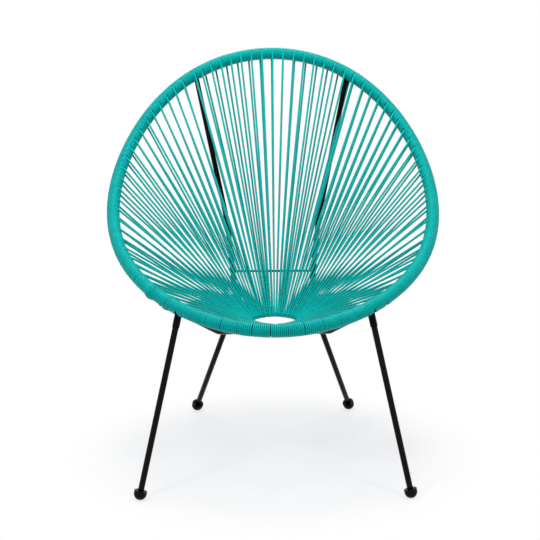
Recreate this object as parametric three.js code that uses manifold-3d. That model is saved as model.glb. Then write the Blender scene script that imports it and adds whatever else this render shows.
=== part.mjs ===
// Acapulco chair: an egg-shaped steel hoop bent like a ladle, a small seat ring under it, two side
// rails that carry both, four screwed-on splayed legs with ball feet, and a plastic cord that is
// wound round the hoop and laced to the ring.
//
// Millimetres, +Z up, the sitter looks along -Y. The origin is on the floor under the middle of the
// chair's bounding box. "left" and "right" are as the photograph shows them, -X and +X.

import * as THREE from 'three';
import { mergeVertices } from 'three/addons/utils/BufferGeometryUtils.js';
import Module from 'manifold-3d';

const wasm = await Module();
wasm.setup();

const degree = Math.PI / 180;

// Fits
const clearance = 0.3;            // between separate pieces that touch
const cutOverrun = 4;             // how far a cutter reaches past what it cuts
const weldReach = 22;             // length of hoop cut out of a piece, either side of its weld
const mergeDistance = 1e-4;       // corners closer than this are one

// Hoop: an egg outline, rolled to one even bend from its front to its top
const hoopTubeRadius = 10;
const hoopTubeWall = 1.5;
const hoopHalfWidth = 353.2;
const hoopFlatLength = 883;       // front to top, measured on the flat outline
const hoopFrontY = -357;
const hoopFrontHeight = 374.4;
const hoopFrontSlope = 12 * degree;
const hoopTopSlope = 56 * degree;
const eggShares = [-0.045, -0.055, -0.075];   // fullness towards the top, by powers of the cosine
const ventRadius = 2.5;           // welding vent in the hoop's underside

// Cord
const cordRadius = 2;             // where it is wound
const strandHalfWidth = 1.5;      // square section, where it is pulled tight
const frontStations = 13;         // pairs of strands between the two front leg sockets
const frontHalfArc = 225;         // along the hoop, from the middle of its front to the last of them
const sideStations = 26;          // from a front socket to a rail's top, each side
const backStations = 15;          // between the tops of the two rails
const sideCrowdingShare = 0.1875; // how much closer the side pairs stand at the top than on average
const seamSlotShare = 0.6;        // wider space on the ring behind the ninth pair, in pairs
const stubSlotShare = 1.6;        // wider space on the ring where its stub leaves, in pairs
const seamStation = 8.5;
const stubStation = 19.5;

// Seat ring
const seatRingRadius = 54;
const seatRingRodRadius = 3;
const seatRingY = -42;
const seatRingHeight = 307.7;

// Side rails: knees measured outward, backward and upward from the seat ring's centre
const railRadius = 6;
const railWall = 1.5;
const railTopFromMiddle = 189.6;  // along the hoop, from the middle of its top
const railTopBehind = 9;          // how far the rail's axis passes behind the hoop's
const railFrontArc = 258;         // along the hoop, from the middle of its front
const railFrontBehind = 11;
const waistOut = 104;
const waistBack = 199;
const waistUp = 180.4;
const heelOut = 76.4;
const heelBack = 70;
const heelDrop = 44.3;
const toeOut = 121;
const toeForward = 24;
const toeDrop = 17.2;
const waistBendRadius = 500;
const heelBendRadius = 45;
const toeBendRadius = 70;

// Rods between the rails, and between each rail and the ring
const crossRodRadius = 2.5;
const crossRodUp = 78.8;          // above the seat ring's centre
const stubRadius = 2.5;
const stubHeelShare = 0.6;        // place on the rail, from heel to toe

// Legs and their screwed joints
const legRadius = 6.35;           // half-inch tube
const socketRadius = 7.5;
const socketShowing = 26;         // length that stands out of the cord or the rail
const frontSocketArc = 218;       // along the hoop, from the middle of its front
const rearSocketUp = 19;          // above the seat ring's centre, on the rail
const studRadius = 4;
const studInSocket = 18;
const studInLeg = 24;
const frontFootX = 278.5;
const frontFootY = -302;
const rearFootX = 184.5;
const rearFootY = 258;

// Ball feet
const footRadius = 14.4;
const footFlatDepth = 0.5;        // worn flat that stands on the floor
const footCollarRise = 9;         // flat top above the ball's middle
const footBoreFloor = 3;          // bottom of the leg's seat above the ball's middle

// Facets
const tubeSides = 8;
const boreSides = 6;
const turnedSides = 12;
const footRings = 6;
const arcDivisions = 2000;
const stepsPerRun = 4;
const seatRingSteps = 36;
const seatRingSides = 6;
const halfTurnSteps = 3;
const bendStep = 14 * degree;

const cordBlue = new THREE.MeshStandardMaterial({ color: 0x0eb2a6, roughness: 0.35, metalness: 0 });
const blackPaint = new THREE.MeshStandardMaterial({ color: 0x17171a, roughness: 0.45, metalness: 0.2 });
const blackPlastic = new THREE.MeshStandardMaterial({ color: 0x141416, roughness: 0.6, metalness: 0 });
const zincPlate = new THREE.MeshStandardMaterial({ color: 0xb9bcc0, roughness: 0.4, metalness: 0.9 });

const group = new THREE.Group();

// Shape helpers

function vec(x, y, z) {
  return new THREE.Vector3(x, y, z);
}

function solidFrom(geometry) {
  const bare = geometry.clone();
  bare.deleteAttribute('normal');
  bare.deleteAttribute('uv');
  const merged = mergeVertices(bare, mergeDistance);
  const mesh = new wasm.Mesh({
    numProp: 3,
    vertProperties: new Float32Array(merged.attributes.position.array),
    triVerts: new Uint32Array(merged.index.array),
  });
  return new wasm.Manifold(mesh);
}

function geometryFrom(solid) {
  const mesh = solid.getMesh();
  const geometry = new THREE.BufferGeometry();
  geometry.setAttribute('position', new THREE.BufferAttribute(new Float32Array(mesh.vertProperties), 3));
  geometry.setIndex(new THREE.BufferAttribute(new Uint32Array(mesh.triVerts), 1));
  geometry.computeVertexNormals();
  return geometry;
}

function addNode(name, solid, material) {
  const mesh = new THREE.Mesh(geometryFrom(solid), material);
  mesh.name = name;
  group.add(mesh);
}

// Corner radius of a polygon with the area of a round bar
function evenCorner(radius, sides) {
  const corner = (2 * Math.PI) / sides;
  return radius * Math.sqrt(corner / Math.sin(corner));
}

// Corner radius of a polygon whose flats clear such a bar
function clearOf(radius, sides) {
  return (evenCorner(radius, sides) + clearance) / Math.cos(Math.PI / sides);
}

function polygon(Outline, radius, sides, firstShare) {
  const corners = [];
  for (let i = 0; i < sides; i += 1) {
    const angle = (2 * Math.PI * (i + firstShare)) / sides;
    corners.push(new THREE.Vector2(radius * Math.cos(angle), radius * Math.sin(angle)));
  }
  return new Outline(corners);
}

function roundSection(radius, sides) {
  return polygon(THREE.Shape, radius, sides, 0);
}

// The bore lies with a flat under the outline's first corner
function pipeSection(radius, sides, boreRadius, holeSides) {
  const section = roundSection(radius, sides);
  section.holes.push(polygon(THREE.Path, boreRadius, holeSides, 0.5));
  return section;
}

// Path through given stops, each with its own tangent and the direction that its section's x takes
class Route extends THREE.Curve {
  constructor(stops) {
    super();
    this.stops = stops;
  }

  getPoint(t) {
    return this.stops[Math.round(t * (this.stops.length - 1))].at.clone();
  }

  getPointAt(u) {
    return this.getPoint(u);
  }

  computeFrenetFrames() {
    const tangents = this.stops.map(({ tangent }) => tangent.clone().normalize());
    const normals = this.stops.map(({ first }, i) => (
      first.clone().addScaledVector(tangents[i], -first.dot(tangents[i])).normalize()
    ));
    const binormals = normals.map((normal, i) => new THREE.Vector3().crossVectors(tangents[i], normal));
    return { tangents, normals, binormals };
  }
}

function swept(section, stops) {
  const extrudePath = new Route(stops);
  return solidFrom(new THREE.ExtrudeGeometry(section, { steps: stops.length - 1, extrudePath }));
}

// Straight round bar between two points
function bar(from, to, radius, sides) {
  const axis = to.clone().sub(from);
  const geometry = new THREE.CylinderGeometry(radius, radius, axis.length(), sides);
  geometry.applyQuaternion(new THREE.Quaternion().setFromUnitVectors(vec(0, 1, 0), axis.normalize()));
  const middle = from.clone().lerp(to, 0.5);
  geometry.translate(middle.x, middle.y, middle.z);
  return solidFrom(geometry);
}

// Stops of a bent tube: straight runs joined by round bends at the inner corners
function bentLine(corners, radii) {
  const stops = [{ at: corners[0], tangent: corners[1].clone().sub(corners[0]).normalize() }];
  for (let i = 1; i < corners.length - 1; i += 1) {
    const before = corners[i].clone().sub(corners[i - 1]).normalize();
    const after = corners[i + 1].clone().sub(corners[i]).normalize();
    const turn = before.angleTo(after);
    const radius = radii[i - 1];
    const start = corners[i].clone().addScaledVector(before, -radius * Math.tan(turn / 2));
    const axis = new THREE.Vector3().crossVectors(before, after).normalize();
    const centre = start.clone().addScaledVector(new THREE.Vector3().crossVectors(axis, before), radius);
    const steps = Math.max(1, Math.round(turn / bendStep));
    for (let j = 0; j <= steps; j += 1) {
      const angle = (turn * j) / steps;
      stops.push({
        at: start.clone().sub(centre).applyAxisAngle(axis, angle).add(centre),
        tangent: before.clone().applyAxisAngle(axis, angle),
      });
    }
  }
  const end = corners.at(-1);
  stops.push({ at: end, tangent: end.clone().sub(corners.at(-2)).normalize() });
  let first = vec(1, 0, 0);
  for (const stop of stops) {
    first = first.clone().addScaledVector(stop.tangent, -first.dot(stop.tangent)).normalize();
    stop.first = first;
  }
  return stops;
}

// Turned solid about the line from "base" towards "tip"; profile points are [radius, distance]
function turned(profile, base, tip, sides) {
  const points = profile.map(([radius, distance]) => new THREE.Vector2(radius, distance));
  const geometry = new THREE.LatheGeometry(points, sides);
  const axis = tip.clone().sub(base).normalize();
  geometry.applyQuaternion(new THREE.Quaternion().setFromUnitVectors(vec(0, 1, 0), axis));
  geometry.translate(base.x, base.y, base.z);
  return solidFrom(geometry);
}

// Hoop path

const hoopBendRadius = hoopFlatLength / (hoopTopSlope - hoopFrontSlope);

class HoopCurve extends THREE.Curve {
  getPoint(t) {
    const angle = 2 * Math.PI * t;
    const along = (hoopFlatLength * (1 - Math.cos(angle))) / 2;
    const slope = hoopFrontSlope + along / hoopBendRadius;
    const fullness = eggShares.reduce((sum, share, i) => sum + share * Math.cos(angle) ** (i + 1), 1);
    return vec(
      hoopHalfWidth * Math.sin(angle) * fullness,
      hoopFrontY + hoopBendRadius * (Math.sin(slope) - Math.sin(hoopFrontSlope)),
      hoopFrontHeight + hoopBendRadius * (Math.cos(hoopFrontSlope) - Math.cos(slope)),
    );
  }
}

const hoopCurve = new HoopCurve();
hoopCurve.arcLengthDivisions = arcDivisions;
const hoopLength = hoopCurve.getLength();

// Place on the hoop, by the distance along it from the middle of its front, right side positive
function onHoop(arc) {
  const share = (arc / hoopLength + 2) % 1;
  const at = hoopCurve.getPointAt(share);
  const tangent = hoopCurve.getTangentAt(share);
  const slope = hoopFrontSlope + hoopBendAngle(at);
  const behind = vec(0, Math.sin(slope), -Math.cos(slope));
  behind.addScaledVector(tangent, -behind.dot(tangent)).normalize();
  return { at, tangent, behind };
}

// Stop of a section along the hoop; its corners are set by the pull of the strands
function hoopStop(arc) {
  const { at, tangent } = onHoop(arc);
  const pull = vec(0, seatRingY, seatRingHeight).sub(at);
  return { at, tangent, first: new THREE.Vector3().crossVectors(tangent, pull) };
}

// Angle that the hoop's bend has turned through at a point
function hoopBendAngle(at) {
  const sine = (at.y - hoopFrontY) / hoopBendRadius + Math.sin(hoopFrontSlope);
  return Math.asin(Math.min(1, sine)) - hoopFrontSlope;
}

// Stations: pairs of strands counted from the middle of the front, right side positive. Halves of
// a station lie between two pairs.

const weldTopArc = hoopLength / 2 - railTopFromMiddle;
const stationCount = frontStations + 2 * sideStations + backStations;
const frontEdge = frontStations / 2;
const sideEdge = frontEdge + sideStations;

function stationArc(station) {
  const k = Math.abs(station);
  let arc = (frontHalfArc * k) / frontEdge;
  if (k > frontEdge) {
    const share = (k - frontEdge) / sideStations;
    arc = frontHalfArc + (weldTopArc - frontHalfArc) * share * (1 + sideCrowdingShare * (1 - share));
  }
  if (k > sideEdge) {
    arc = weldTopArc + (2 * railTopFromMiddle * (k - sideEdge)) / backStations;
  }
  return Math.sign(station) * arc;
}

// Spaces used up on the seat ring between the front and a station; "before" tells a run's end from
// the next run's start where the ring has a wider space
function ringSlots(station, before) {
  const k = Math.abs(station);
  const reach = (edge) => (before ? k > edge : k >= edge);
  const extra = (reach(seamStation) ? seamSlotShare : 0) + (reach(stubStation) ? stubSlotShare : 0);
  return Math.sign(station) * (k + extra);
}

const strandOverHoop = hoopTubeRadius + clearance + cordRadius;
const halfTurnRadius = (seatRingRodRadius + clearance) / Math.cos(Math.PI / (2 * halfTurnSteps));
const strandOverRing = halfTurnRadius + strandHalfWidth;
const slotAngle = (2 * Math.PI) / (stationCount + 2 * (seamSlotShare + stubSlotShare));

function onSeatRing(angle) {
  const outward = vec(Math.sin(angle), -Math.cos(angle), 0);
  const at = outward.clone().multiplyScalar(seatRingRadius).add(vec(0, seatRingY, seatRingHeight));
  return { at, tangent: vec(Math.cos(angle), Math.sin(angle), 0), outward };
}

// Pair of strands: from the hoop's front down to the ring, a half turn round the ring's inner side,
// and back up behind the hoop
function strandPair(station) {
  const hoop = onHoop(stationArc(station));
  const ring = onSeatRing(ringSlots(station, true) * slotAngle);
  const pull = ring.at.clone().sub(hoop.at).normalize();
  const overHoop = new THREE.Vector3().crossVectors(hoop.tangent, pull).normalize();
  overHoop.multiplyScalar(-Math.sign(overHoop.dot(hoop.behind)) * strandOverHoop);
  const overRing = new THREE.Vector3().crossVectors(pull, ring.tangent).normalize();
  const inward = new THREE.Vector3().crossVectors(ring.tangent, overRing);
  inward.multiplyScalar(Math.sign(inward.dot(pull)));
  const path = [hoop.at.clone().add(overHoop)];
  for (let i = 0; i <= halfTurnSteps; i += 1) {
    const angle = (Math.PI * i) / halfTurnSteps;
    const corner = ring.at.clone();
    corner.addScaledVector(overRing, Math.cos(angle) * strandOverRing * Math.sign(overRing.z));
    corner.addScaledVector(inward, Math.sin(angle) * strandOverRing);
    path.push(corner);
  }
  path.push(hoop.at.clone().sub(overHoop));
  const section = new THREE.Shape([[-1, -1], [1, -1], [1, 1], [-1, 1]].map(([x, y]) => (
    new THREE.Vector2(x * strandHalfWidth, y * strandHalfWidth)
  )));
  const legs = path.slice(1).map((corner, i) => corner.clone().sub(path[i]).normalize());
  return swept(section, path.map((at, i) => {
    const before = legs[Math.max(i - 1, 0)];
    const after = legs[Math.min(i, legs.length - 1)];
    return { at, tangent: before.clone().add(after).normalize(), first: ring.tangent };
  }));
}

// Runs of cord: first and last station of each, in order round the hoop from the left socket
const halfFront = (frontStations - 1) / 2;
const halfCount = stationCount / 2;
const sideRunSizes = [5, 4, 4, 6, 7];
const frontRunSizes = [4, 5, 4];
const backRunSizes = [5, 5, 5];

function runsFrom(first, sizes, name) {
  let station = first;
  return sizes.map((size, i) => {
    const run = { name: `${name}_${i + 1}`, first: station, last: station + size - 1 };
    station += size;
    return run;
  });
}

const rightRuns = runsFrom(halfFront + 1, sideRunSizes, 'cord_right');
const runs = [
  ...runsFrom(-halfFront, frontRunSizes, 'cord_front'),
  ...rightRuns,
  ...runsFrom(rightRuns.at(-1).last + 1, backRunSizes, 'cord_back'),
  ...rightRuns.map((run) => ({
    name: run.name.replace('right', 'left'),
    first: -run.last,
    last: -run.first,
  })),
];

// A run over the top counts on past the last station, which a place on the left names by its minus
function wrapped(station) {
  return station > halfCount ? station - stationCount : station;
}

// Marks along the hoop that its tube and the cord over it share
function runArcs(run) {
  const arcs = [];
  for (let i = 0; i <= stepsPerRun; i += 1) {
    const station = run.first - 0.5 + ((run.last - run.first + 1) * i) / stepsPerRun;
    const arc = stationArc(wrapped(station));
    arcs.push(arc < 0 && station > halfCount ? arc + hoopLength : arc);
  }
  return arcs;
}

function hoopTube() {
  const arcs = runs.flatMap((run) => runArcs(run).slice(1)).map((arc) => (arc + hoopLength) % hoopLength);
  arcs.sort((a, b) => a - b);
  arcs.push(arcs[0]);
  const section = pipeSection(hoopTubeRadius, tubeSides, hoopTubeRadius - hoopTubeWall, boreSides);
  const { at, behind } = onHoop(stationArc(0.5));
  const outside = at.clone().addScaledVector(behind, hoopTubeRadius + cutOverrun);
  return swept(section, arcs.map(hoopStop)).subtract(bar(at, outside, ventRadius, tubeSides));
}

function seatRing(radius) {
  const geometry = new THREE.TorusGeometry(seatRingRadius, radius, seatRingSides, seatRingSteps);
  geometry.translate(0, seatRingY, seatRingHeight);
  return solidFrom(geometry);
}

// Moves the first and last mark of a row inwards, so that neighbours stand a clearance apart
function pulledIn(marks, amount) {
  const row = [...marks];
  row[0] += amount / 2;
  row[row.length - 1] -= amount / 2;
  return row;
}

function hoopWinding(run) {
  const section = pipeSection(
    evenCorner(hoopTubeRadius + 2 * cordRadius, tubeSides),
    tubeSides,
    (hoopTubeRadius + clearance) / Math.cos(Math.PI / boreSides),
    boreSides,
  );
  return swept(section, pulledIn(runArcs(run), clearance).map(hoopStop));
}

// Side rails

function railCorners(side) {
  const top = onHoop(side * weldTopArc);
  const front = onHoop(side * railFrontArc);
  return [
    top.at.clone().addScaledVector(top.behind, railTopBehind),
    vec(side * waistOut, seatRingY + waistBack, seatRingHeight + waistUp),
    vec(side * heelOut, seatRingY + heelBack, seatRingHeight - heelDrop),
    vec(side * toeOut, seatRingY - toeForward, seatRingHeight - toeDrop),
    front.at.clone().addScaledVector(front.behind, railFrontBehind),
  ];
}

function railStops(side) {
  return bentLine(railCorners(side), [waistBendRadius, heelBendRadius, toeBendRadius]);
}

// Room that a piece leaves for a rail
function railCutter(side) {
  return swept(roundSection(clearOf(railRadius, tubeSides), tubeSides), railStops(side));
}

// Point on the rail's straight back between waist and heel, at a height above the seat ring
function onRailBack(side, rise) {
  const [, waist, heel] = railCorners(side);
  const share = (waistUp - rise) / (waistUp + heelDrop);
  return waist.clone().lerp(heel, share);
}

// Room for the hoop, to cut the pieces that are welded to it near a place
function hoopCutter(arc) {
  const section = roundSection(clearOf(hoopTubeRadius, tubeSides), tubeSides);
  return swept(section, [-weldReach, 0, weldReach].map((offset) => hoopStop(arc + offset)));
}

function sideRail(side) {
  const section = pipeSection(
    evenCorner(railRadius, tubeSides),
    tubeSides,
    evenCorner(railRadius - railWall, boreSides),
    boreSides,
  );
  return swept(section, railStops(side))
    .subtract(hoopCutter(side * weldTopArc))
    .subtract(hoopCutter(side * railFrontArc));
}

function crossRod() {
  const ends = [-1, 1].map((side) => onRailBack(side, crossRodUp));
  return bar(ends[0], ends[1], crossRodRadius, tubeSides)
    .subtract(railCutter(-1))
    .subtract(railCutter(1));
}

function ringStub(side) {
  const slots = (ringSlots(stubStation, true) + ringSlots(stubStation, false)) / 2;
  const ring = onSeatRing(side * slots * slotAngle);
  const [, , heel, toe] = railCorners(side);
  const away = heel.clone().lerp(toe, stubHeelShare);
  return bar(ring.at, away, stubRadius, tubeSides)
    .subtract(seatRing(clearOf(seatRingRodRadius, seatRingSides)))
    .subtract(railCutter(side));
}

// Legs: each line runs from what carries it down to the middle of its ball foot

const footHeight = footRadius - footFlatDepth;

function legLine(end, side) {
  if (end === 'front') {
    return {
      root: onHoop(side * frontSocketArc).at,
      foot: vec(side * frontFootX, frontFootY, footHeight),
      inside: hoopTubeRadius,
      cover: hoopTubeRadius + 2 * cordRadius,
    };
  }
  return {
    root: onRailBack(side, rearSocketUp),
    foot: vec(side * rearFootX, rearFootY, footHeight),
    inside: railRadius,
    cover: railRadius,
  };
}

function socketBar(line, radius) {
  const tip = line.cover + socketShowing;
  return turned([[0, 0], [radius, 0], [radius, tip], [0, tip]], line.root, line.foot, turnedSides);
}

function legSocket(line, cutter) {
  const tip = line.cover + socketShowing;
  const bore = studRadius + clearance;
  const floor = tip - studInSocket - clearance;
  const profile = [[0, floor], [bore, floor], [bore, tip + cutOverrun], [0, tip + cutOverrun]];
  const hole = turned(profile, line.root, line.foot, turnedSides);
  return socketBar(line, socketRadius).subtract(hole).subtract(cutter);
}

function legStud(line) {
  const seat = line.cover + socketShowing;
  const from = seat - studInSocket;
  const to = seat + studInLeg;
  const profile = [[0, from], [studRadius, from], [studRadius, to], [0, to]];
  return turned(profile, line.root, line.foot, turnedSides);
}

function legTube(line) {
  const from = line.cover + socketShowing + clearance;
  const to = line.root.distanceTo(line.foot) - footBoreFloor - clearance;
  const bore = studRadius + clearance;
  const profile = [[bore, from], [legRadius, from], [legRadius, to], [bore, to], [bore, from]];
  return turned(profile, line.root, line.foot, turnedSides);
}

function ballFoot(line) {
  const ballTop = Math.acos(footCollarRise / footRadius);
  const profile = [];
  const bore = (legRadius + clearance) / Math.cos(Math.PI / turnedSides);
  profile.push([0, footBoreFloor], [bore, footBoreFloor], [bore, footCollarRise]);
  for (let i = 0; i <= footRings; i += 1) {
    const angle = ballTop + ((Math.PI - ballTop) * i) / footRings;
    profile.push([i === footRings ? 0 : footRadius * Math.sin(angle), footRadius * Math.cos(angle)]);
  }
  const ball = turned(profile.reverse(), line.foot, line.root, turnedSides);
  const below = line.foot.clone().setZ(0);
  const under = line.foot.clone().setZ(-footRadius);
  const floor = bar(under, below, 2 * footRadius, tubeSides);
  return ball.subtract(floor);
}

// Assembly

addNode('hoop_tube', hoopTube(), blackPaint);
addNode('seat_ring', seatRing(seatRingRodRadius), blackPaint);
addNode('back_cross_rod', crossRod(), blackPaint);

const sides = [['left', -1], ['right', 1]];
for (const [name, side] of sides) {
  addNode(`side_rail_${name}`, sideRail(side), blackPaint);
  addNode(`ring_stub_${name}`, ringStub(side), blackPaint);
}

for (const end of ['front', 'rear']) {
  for (const [name, side] of sides) {
    const line = legLine(end, side);
    const cutter = end === 'front'
      ? hoopCutter(side * frontSocketArc)
      : railCutter(side);
    addNode(`leg_socket_${end}_${name}`, legSocket(line, cutter), blackPaint);
    addNode(`leg_stud_${end}_${name}`, legStud(line), zincPlate);
    addNode(`leg_${end}_${name}`, legTube(line), blackPaint);
    addNode(`foot_${end}_${name}`, ballFoot(line), blackPlastic);
  }
}

// What the windings leave room for: the rails and the front sockets at their welds
const weldRoom = sides.flatMap(([, side]) => [
  railCutter(side),
  socketBar(legLine('front', side), (socketRadius + clearance) / Math.cos(Math.PI / turnedSides)),
]);

for (const run of runs) {
  let cord = hoopWinding(run);
  for (const room of weldRoom) {
    cord = cord.subtract(room);
  }
  for (let station = run.first; station <= run.last; station += 1) {
    cord = cord.add(strandPair(wrapped(station)));
  }
  addNode(run.name, cord, cordBlue);
}

export default group;
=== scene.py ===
# %% [markdown]
# # A lounge chair laced with cord
# This chair is an egg-shaped steel hoop, a small steel ring under it, and one long plastic cord that
# is wound round the hoop and pulled to the ring and back, eighty times. Two bent rails carry the
# hoop, and four screwed-on legs with round feet stand under it. The solids of the chair are loaded
# first as a fixed frame. Every piece made here is in metres, in the same frame, and takes the place
# of one solid.

# %% Load the solids
import math

import bpy
import numpy as np
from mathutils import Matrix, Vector


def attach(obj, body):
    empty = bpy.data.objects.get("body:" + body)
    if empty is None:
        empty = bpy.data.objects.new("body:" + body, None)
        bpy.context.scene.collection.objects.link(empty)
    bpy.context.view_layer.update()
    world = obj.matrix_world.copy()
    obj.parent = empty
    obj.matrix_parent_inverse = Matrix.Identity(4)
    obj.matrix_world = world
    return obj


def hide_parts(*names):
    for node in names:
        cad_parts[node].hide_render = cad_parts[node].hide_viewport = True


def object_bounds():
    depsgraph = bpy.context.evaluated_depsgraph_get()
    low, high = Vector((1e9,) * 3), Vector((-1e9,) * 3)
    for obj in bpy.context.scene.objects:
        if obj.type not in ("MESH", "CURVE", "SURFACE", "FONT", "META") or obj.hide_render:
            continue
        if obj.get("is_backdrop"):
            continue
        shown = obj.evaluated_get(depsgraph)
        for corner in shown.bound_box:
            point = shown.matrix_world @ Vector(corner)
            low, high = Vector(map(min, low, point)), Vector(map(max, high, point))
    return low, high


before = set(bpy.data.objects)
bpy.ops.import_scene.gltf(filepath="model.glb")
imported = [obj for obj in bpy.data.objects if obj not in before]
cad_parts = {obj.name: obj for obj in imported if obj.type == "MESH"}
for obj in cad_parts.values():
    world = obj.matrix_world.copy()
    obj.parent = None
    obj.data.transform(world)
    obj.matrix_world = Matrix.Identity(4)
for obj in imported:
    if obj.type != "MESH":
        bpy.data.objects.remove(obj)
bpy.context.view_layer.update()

mm = 0.001

# %% [markdown]
# ## Camera
# The photograph was taken from a little above the chair and about three metres in front of it, with
# a long lens. A long lens keeps the hoop's egg shape free of distortion. The camera stood three
# centimetres to the left of the chair's middle, as the front feet show: they stand a little further
# right than the rear ones. It was also held a quarter of a degree off level.

# %% Camera
camera_data = bpy.data.cameras.new("camera")
camera_data.sensor_width = 36
camera_data.lens = 94.24
camera_data.shift_x = -0.0029
camera = bpy.data.objects.new("camera", camera_data)
camera.location = (-0.0279, -3.0285, 1.1334)
camera.rotation_euler = [math.radians(angle) for angle in (76.607, 0.233, -0.505)]
bpy.context.scene.collection.objects.link(camera)
bpy.context.scene.camera = camera
print("camera", camera.location[:], "lens", camera_data.lens)

# %% [markdown]
# ## The hoop's line
# The hoop is a flat egg outline that has been rolled over a drum, so that its front lies nearly
# level and its top leans back. Everything else on the chair is placed from this line: a distance
# along it, counted from the middle of the front, gives a point, the direction of the tube, and the
# direction of its back. A formula is used instead of a drawn curve, because the cord needs the
# line at thousands of places.

# %% Points on the hoop
HALF_WIDTH = 353.2 * mm
FLAT_LENGTH = 883 * mm
FRONT_Y = -357 * mm
FRONT_HEIGHT = 374.4 * mm
FRONT_SLOPE = math.radians(12)
TOP_SLOPE = math.radians(56)
ROLL_RADIUS = FLAT_LENGTH / (TOP_SLOPE - FRONT_SLOPE)
FULLNESS = (0.045, 0.055, 0.075)
LINE_POINTS = 8001
NEARBY = 1e-4


def unit(v):
    return v / np.linalg.norm(v, axis=-1, keepdims=True)


def dot(a, b):
    return (a * b).sum(-1, keepdims=True)


def slope_at(angle):
    return FRONT_SLOPE + FLAT_LENGTH * (1 - np.cos(angle)) / 2 / ROLL_RADIUS


def hoop_point(angle):
    c, slope = np.cos(angle), slope_at(angle)
    fullness = 1 - FULLNESS[0] * c - FULLNESS[1] * c**2 - FULLNESS[2] * c**3
    x = HALF_WIDTH * np.sin(angle) * fullness
    y = FRONT_Y + ROLL_RADIUS * (np.sin(slope) - math.sin(FRONT_SLOPE))
    z = FRONT_HEIGHT + ROLL_RADIUS * (math.cos(FRONT_SLOPE) - np.cos(slope))
    return np.stack([x, y, z], -1)


ANGLES = np.linspace(0, 2 * math.pi, LINE_POINTS)
STEPS = np.linalg.norm(np.diff(hoop_point(ANGLES), axis=0), axis=1)
ARCS = np.concatenate([[0], np.cumsum(STEPS)])
HOOP_LENGTH = ARCS[-1]


def on_hoop(arc):
    """Point, direction of the tube and direction of its back, at a distance from the front."""
    angle = np.interp(np.mod(arc, HOOP_LENGTH), ARCS, ANGLES)
    tangent = unit(hoop_point(angle + NEARBY) - hoop_point(angle - NEARBY))
    slope = slope_at(angle)
    behind = np.stack([0 * slope, np.sin(slope), -np.cos(slope)], -1)
    return hoop_point(angle), tangent, unit(behind - dot(behind, tangent) * tangent)


print("hoop length", round(HOOP_LENGTH, 4))

# %% [markdown]
# ## Where the strands sit
# The cord leaves the hoop at eighty places, the stations: 13 between the front leg sockets, 26 along
# each side, and 15 between the tops of the two rails. They are counted from the middle of the front,
# to the sitter's left on to the top and down again, so that station 73 is the last one before the
# front. They were set by eye, so all sit a little askew, and some are a few millimetres off.

# %% Stations on the hoop
STATIONS = 80
TOP_STATION = 40
FIRST_STATION, LAST_STATION = -6, 73
FRONT_LIMIT, TOP_LIMIT = 6.5, 32.5
WELD_FRONT = 225 * mm
TOP_HALF = 189.6 * mm
WELD_TOP = HOOP_LENGTH / 2 - TOP_HALF
SIDE_CROWDING = 0.1875
ASKEW, ASKEW_SWING = 2.6, 1.7
# Millimetres that single stations are off, along the hoop.
SHIFTED_STATIONS = {
    -1: -5, 0: -5, 1: -6, 2: -9, 3: -4, 79: -5, 80: -5,
    17: 3, 18: 4, 19: 4, 20: 5, 21: 4, 22: 3, 23: 2,
    27: -4, 28: -4, 29: -6, 30: -7, 31: -8, 32: -3, 33: -4,
    48: -6, 49: 3, 50: 4, 51: 4, 52: 4, 53: 4, 55: 4, 56: 4,
}


def half_station_arc(k):
    """Even places: along the front, up one side with closer stations higher up, and over the top."""
    if k <= FRONT_LIMIT:
        return WELD_FRONT * k / FRONT_LIMIT
    if k <= TOP_LIMIT:
        share = (k - FRONT_LIMIT) / (TOP_LIMIT - FRONT_LIMIT)
        return WELD_FRONT + (WELD_TOP - WELD_FRONT) * share * (1 + SIDE_CROWDING * (1 - share))
    return WELD_TOP + TOP_HALF * (k - TOP_LIMIT) / (TOP_STATION - TOP_LIMIT)


def station_arc(k):
    """Distance along the hoop; stations past the top come down the other side."""
    if k > TOP_STATION:
        arc = HOOP_LENGTH - half_station_arc(STATIONS - k)
    else:
        arc = math.copysign(half_station_arc(abs(k)), k)
    askew = (ASKEW + ASKEW_SWING * math.cos(2 * math.pi * k / STATIONS)) * mm
    return arc - askew + SHIFTED_STATIONS.get(k, 0) * mm


NUMBERS = np.arange(FIRST_STATION - 1, LAST_STATION + 2)
STATION_ARCS = np.array([station_arc(k) for k in NUMBERS])
print("stations 6 and 7 at", round(station_arc(6), 4), round(station_arc(7), 4))

# %% [markdown]
# ## Slots on the ring
# Each station has a slot on the small ring. The slots stand side by side, with a wider space at each
# of the two stubs of rod that hold the ring, and two narrower ones that show as seams in the seat.
# On the ring's upper side the strands close in over the stubs, and wander a little. The ring itself
# hangs two millimetres beside the hoop's middle.

# %% Ring slots
RING_RADIUS = 54 * mm
RING_CENTRE = np.array([2, -41, 308.5]) * mm
STUB_STATION = 19.5
LEFT_SEAM, RIGHT_SEAM = 10.5, 14.5
SEAM_SPACE, STUB_SPACE = 1.0, 1.3
SLOT_ANGLE = 2 * math.pi / (STATIONS + 2 * (SEAM_SPACE + STUB_SPACE))
STUB_LEAN, SEAM_LEAN, LEAN_REACH = 0.6, 0.45, 4
WANDER, WANDER_PACE = 0.12, 2.1


def ring_slots(k, seam):
    return k + (SEAM_SPACE if k > seam else 0) + (STUB_SPACE if k > STUB_STATION else 0)


def upper_slots(k, seam):
    """On the ring's upper side the cord closes the space over the stub, and opens the seam more."""
    def lean(gap):
        return math.copysign(math.exp(-abs(k - gap) / LEAN_REACH), gap - k)
    slot = ring_slots(k, seam) + STUB_LEAN * lean(STUB_STATION) - SEAM_LEAN * lean(seam)
    return slot + WANDER * math.sin(WANDER_PACE * k)


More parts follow.
